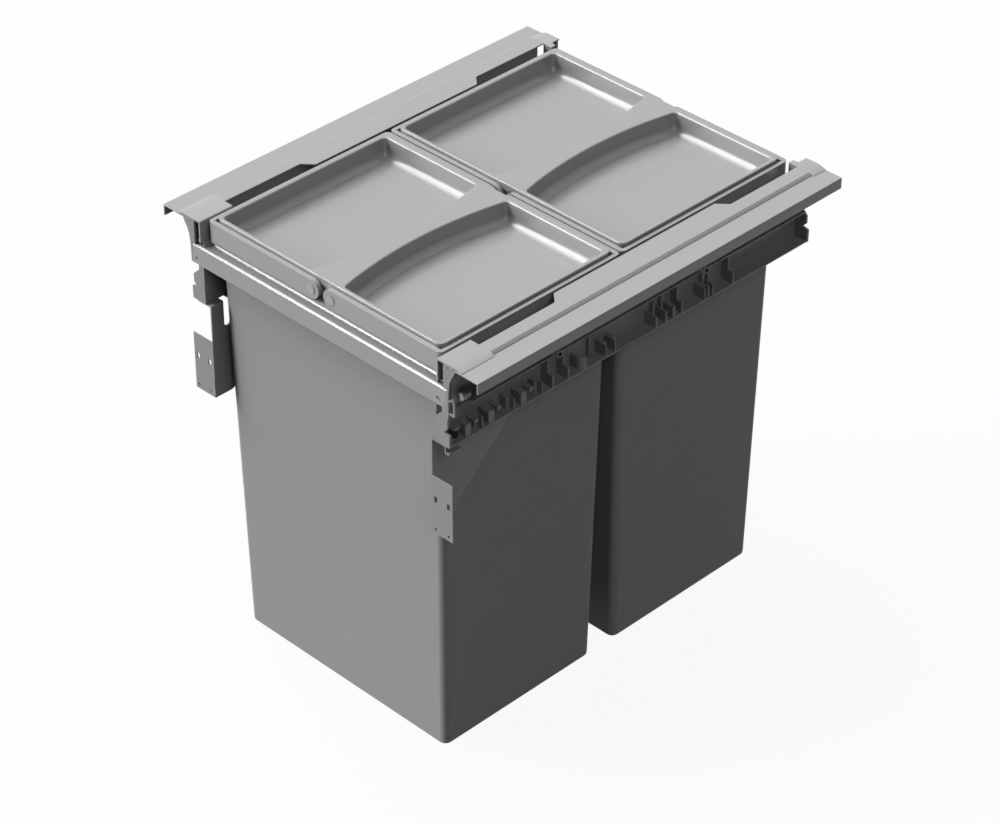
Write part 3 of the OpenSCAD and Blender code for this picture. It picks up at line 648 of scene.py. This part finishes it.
@dataclass
class Lid:
    """Lid with two dishes on both sides of an hourglass ridge."""

    shop: Workshop
    place: str
    middle_y: float
    half_x: float = 148.6
    half_y: float = 108.6
    corner: float = 7.0
    top: float = 471.45
    plate: float = 2.2
    edge: float = 0.7
    skirt: float = 0.8
    skirt_drop: float = 5.4
    dish_out: float = 143.85
    dish_half_y: float = 102.925
    dish_shift: float = -1.325
    dish_corner: float = 4.4
    dish_depth: float = 21.0
    dish_wall: float = 1.2
    dish_lean: float = 0.3
    fillet: float = 7.8
    rim_round: float = 1.6
    waist: float = 8.4
    ridge_end: float = 20.6
    least_corner: float = 0.5
    corner_steps: int = 8
    arc_steps: int = 36
    round_steps: int = 4
    fillet_steps: int = 12

    def plan(self, inset: float, z: float) -> list[tuple]:
        """Lists the lid's outline at one height.

        Args:
            inset: How much smaller it is drawn all round.
            z: Height above the ground.

        Returns:
            Points from the right rear corner, counterclockwise.
        """
        radius = self.corner - inset
        cx, cy = self.half_x - self.corner, self.half_y - self.corner
        points = []
        for k, (sx, sy) in enumerate(((1, 1), (-1, 1), (-1, -1), (1, -1))):
            middle = (sx * cx, sy * cy)
            points += turn(middle, radius, 90 * k, 90 * k + 90, self.corner_steps)
        return [(x, y + self.middle_y, z) for x, y in points]

    def dish(self, sign: int, inset: float, z: float) -> list[tuple]:
        """Lists one dish's outline at one height.

        Args:
            sign: 1 for the right dish, -1 for the left one.
            inset: How much smaller it is drawn all round.
            z: Height above the ground.

        Returns:
            Points from the outer rear corner past the ridge and back.
        """
        sag = self.ridge_end - self.waist
        arc_r = (self.dish_half_y**2 + sag**2) / (2 * sag)
        arc_x = self.waist + arc_r
        radius = max(self.dish_corner - inset, self.least_corner)
        cy = self.dish_half_y - inset - radius
        cx = self.dish_out - inset - radius
        reach = arc_r - inset - radius
        fx = arc_x - math.sqrt(reach**2 - cy**2)
        phi = math.degrees(math.asin(cy / reach))
        steps = self.corner_steps
        points = turn((cx, cy), radius, 0, 90, steps)
        points += turn((fx, cy), radius, 90, 180 - phi, steps)
        ridge = turn((arc_x, 0), arc_r - inset, 180 - phi, 180 + phi, self.arc_steps)
        points += ridge[1:-1]
        points += turn((fx, -cy), radius, 180 + phi, 270, steps)
        points += turn((cx, -cy), radius, 270, 360, steps)
        shift = self.dish_shift + self.middle_y
        return [(sign * x, y + shift, z) for x, y in points]

    def bowl(self, sign: int, wall: float) -> list[list]:
        """Lists the rings of a dish below its rim.

        Args:
            sign: 1 for the right dish, -1 for the left one.
            wall: How far the rings are grown outward.

        Returns:
            Rings down the wall and round the hollow to the floor.
        """
        radius = self.fillet + wall
        middle = self.top - self.dish_depth + self.fillet
        return [
            self.dish(
                sign,
                self.dish_lean + self.fillet - radius * math.cos(a),
                middle - radius * math.sin(a),
            )
            for a in (
                math.pi / 2 * k / self.fillet_steps for k in range(self.fillet_steps + 1)
            )
        ]

    def build(self) -> bpy.types.Object:
        """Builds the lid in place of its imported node.

        Returns:
            The new piece.
        """
        mesh = bmesh.new()
        under = self.top - self.plate
        foot = under - self.skirt_drop
        arc = [math.pi / 2 * k / self.round_steps for k in range(self.round_steps + 1)]
        rim = [
            self.plan(
                self.edge * (1 - math.sin(a)), self.top - self.edge * (1 - math.cos(a))
            )
            for a in arc
        ]
        rim += [
            self.plan(inset, z)
            for inset, z in ((0, foot), (self.skirt, foot), (self.skirt, under))
        ]
        outside = skin(mesh, rim)
        tops, unders = [outside[0]], [outside[-1]]
        for sign in (-1, 1):
            lip = [
                self.dish(
                    sign,
                    -self.rim_round * (1 - math.sin(a)),
                    self.top - self.rim_round * (1 - math.cos(a)),
                )
                for a in arc
            ]
            inside = skin(mesh, lip + self.bowl(sign, 0))
            collar = self.dish(sign, -self.dish_wall, under)
            shell = skin(mesh, [collar] + self.bowl(sign, self.dish_wall))
            mesh.faces.new(inside[-1])
            mesh.faces.new(shell[-1])
            tops.append(inside[0])
            unders.append(shell[0])
        for loops in (tops, unders):
            edges = [
                mesh.edges.get((loop[i], loop[i - 1]))
                for loop in loops
                for i in range(len(loop))
            ]
            bmesh.ops.triangle_fill(mesh, use_beauty=True, use_dissolve=False, edges=edges)
        bmesh.ops.recalc_face_normals(mesh, faces=mesh.faces)
        node = f"{self.place}_lid"
        made = self.shop.piece(
            f"{node}_shell", mesh, self.shop.body_of[node], self.shop.finish(node)
        )
        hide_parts(node)
        return made


@dataclass
class Bin:
    """One hanging bin with its pins, handles and lid."""

    shop: Workshop
    place: str
    middle_y: float
    shortest_edge: float = 3.0

    def build(self) -> None:
        """Dresses the bin and everything that it carries."""
        for node in ("bin", "bin_ledge"):
            self.shop.soften(f"{self.place}_{node}", Edge.MOULDED, self.shortest_edge)
        self.shop.dress(f"{self.place}_bin_pins")
        Lid(self.shop, self.place, self.middle_y).build()
        for side in SIDES:
            Handle(self.shop, self.place, side, self.middle_y).build()


@dataclass(frozen=True)
class Lamp:
    """A broad distant lamp.

    The level is the light on a face square to the lamp, where 1 shows a colour
    as written. The width is in degrees of the sky.
    """

    name: str
    toward: tuple[float, float, float]
    level: float
    width: float

    def build(self) -> None:
        """Hangs the lamp in the scene."""
        data = bpy.data.lights.new(self.name, "SUN")
        data.energy = self.level * math.pi
        data.angle = math.radians(self.width)
        made = bpy.data.objects.new(self.name, data)
        made.rotation_euler = Vector(self.toward).to_track_quat("Z", "Y").to_euler()
        bpy.context.scene.collection.objects.link(made)


# The first four make a tall strip at the front left, from the horizon upward,
# which draws the bright line along every hollow and rolled edge. The next one
# gives tops their tone, and the last is nearly all that lights faces turned right.
LAMPS = (
    Lamp("strip_light_0", (-0.577, -0.81, 0.1), 0.24, 15),
    Lamp("strip_light_1", (-0.577, -0.727, 0.371), 0.21, 15),
    Lamp("strip_light_2", (-0.577, -0.556, 0.597), 0.19, 15),
    Lamp("strip_light_3", (-0.577, -0.319, 0.751), 0.16, 15),
    Lamp("high_left_light", (-0.45, 0.05, 0.89), 0.56, 50),
    Lamp("high_right_light", (0.7, -0.22, 0.68), 0.11, 30),
)


@dataclass
class Studio:
    """Floor, sky, lamps and the camera, with places and sizes in metres."""

    camera_at: tuple[float, float, float] = (1.93993, -1.94613, 2.15521)
    camera_pitch: float = 54.7356
    camera_heading: float = 45.0
    lens_mm: float = 123.82
    sensor_mm: float = 36.0
    nearest: float = 0.1
    farthest: float = 60.0
    floor_size: float = 24.0
    floor_paint: float = 0.06
    floor_glow: float = 0.93
    sky_fill: str = "#2A292E"
    background: float = 0.985

    def build(self) -> None:
        """Makes the whole studio."""
        self.camera()
        self.sky()
        self.floor()
        for lamp in LAMPS:
            lamp.build()

    def camera(self) -> None:
        """Puts the camera where the photograph was taken from."""
        data = bpy.data.cameras.new("camera")
        data.lens = self.lens_mm
        data.sensor_width = self.sensor_mm
        data.clip_start, data.clip_end = self.nearest, self.farthest
        made = bpy.data.objects.new("camera", data)
        made.location = self.camera_at
        made.rotation_euler = (
            math.radians(self.camera_pitch),
            0,
            math.radians(self.camera_heading),
        )
        bpy.context.scene.collection.objects.link(made)
        bpy.context.scene.camera = made
        bpy.context.scene.view_settings.view_transform = "Standard"

    def sky(self) -> None:
        """Lights faintly from all round, and shows white to what looks at it."""
        world = bpy.data.worlds.new("studio_sky")
        bpy.context.scene.world = world
        world.use_nodes = True
        tree = world.node_tree
        tree.nodes.clear()
        fill = add_node(
            tree, "ShaderNodeBackground", values={"Color": linear(self.sky_fill)}
        )
        white = add_node(
            tree,
            "ShaderNodeBackground",
            values={"Color": (1, 1, 1, 1), "Strength": self.background},
        )
        mix = add_node(
            tree,
            "ShaderNodeMixShader",
            links={
                0: self.looked_at(tree),
                1: fill.outputs[0],
                2: white.outputs[0],
            },
        )
        add_node(tree, "ShaderNodeOutputWorld", links={"Surface": mix.outputs[0]})

    def looked_at(self, tree: bpy.types.NodeTree) -> bpy.types.NodeSocket:
        """Tells rays that see a backdrop from rays that it would light.

        Args:
            tree: Node tree of the backdrop.

        Returns:
            A socket that is 1 for the camera, reflections and clear pieces.
        """
        path = add_node(tree, "ShaderNodeLightPath")
        seen = path.outputs["Is Camera Ray"]
        for name in ("Is Glossy Ray", "Is Transmission Ray"):
            seen = add_node(
                tree,
                "ShaderNodeMath",
                settings={"operation": "MAXIMUM"},
                links={0: seen, 1: path.outputs[name]},
            ).outputs[0]
        return seen

    def floor(self) -> None:
        """Lays a pale floor that keeps a faint shadow."""
        mesh = bmesh.new()
        bmesh.ops.create_grid(mesh, x_segments=1, y_segments=1, size=self.floor_size / 2)
        data = bpy.data.meshes.new("floor")
        mesh.to_mesh(data)
        mesh.free()
        made = bpy.data.objects.new("floor", data)
        bpy.context.scene.collection.objects.link(made)
        material = bpy.data.materials.new("pale_floor")
        material.use_nodes = True
        tree = material.node_tree
        tree.nodes.clear()
        paint = add_node(
            tree,
            "ShaderNodeBsdfDiffuse",
            values={"Color": (*[self.floor_paint] * 3, 1)},
        )
        glow = add_node(
            tree,
            "ShaderNodeEmission",
            values={"Color": (1, 1, 1, 1), "Strength": self.floor_glow},
        )
        seen = add_node(
            tree,
            "ShaderNodeAddShader",
            links={0: paint.outputs[0], 1: glow.outputs[0]},
        )
        mix = add_node(
            tree,
            "ShaderNodeMixShader",
            links={
                0: self.looked_at(tree),
                1: paint.outputs[0],
                2: seen.outputs[0],
            },
        )
        add_node(tree, "ShaderNodeOutputMaterial", links={"Surface": mix.outputs[0]})
        data.materials.append(material)


def main() -> None:
    """Builds the unit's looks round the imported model."""
    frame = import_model()
    shop = Workshop(frame)
    Studio().build()
    SideDeck(shop).build()
    FrontGear(shop).build()
    for place, middle_y in MIDDLE_OF_BIN.items():
        Bin(shop, place, middle_y).build()


if __name__ == "__main__":
    logging.basicConfig(level=logging.INFO)
    main()
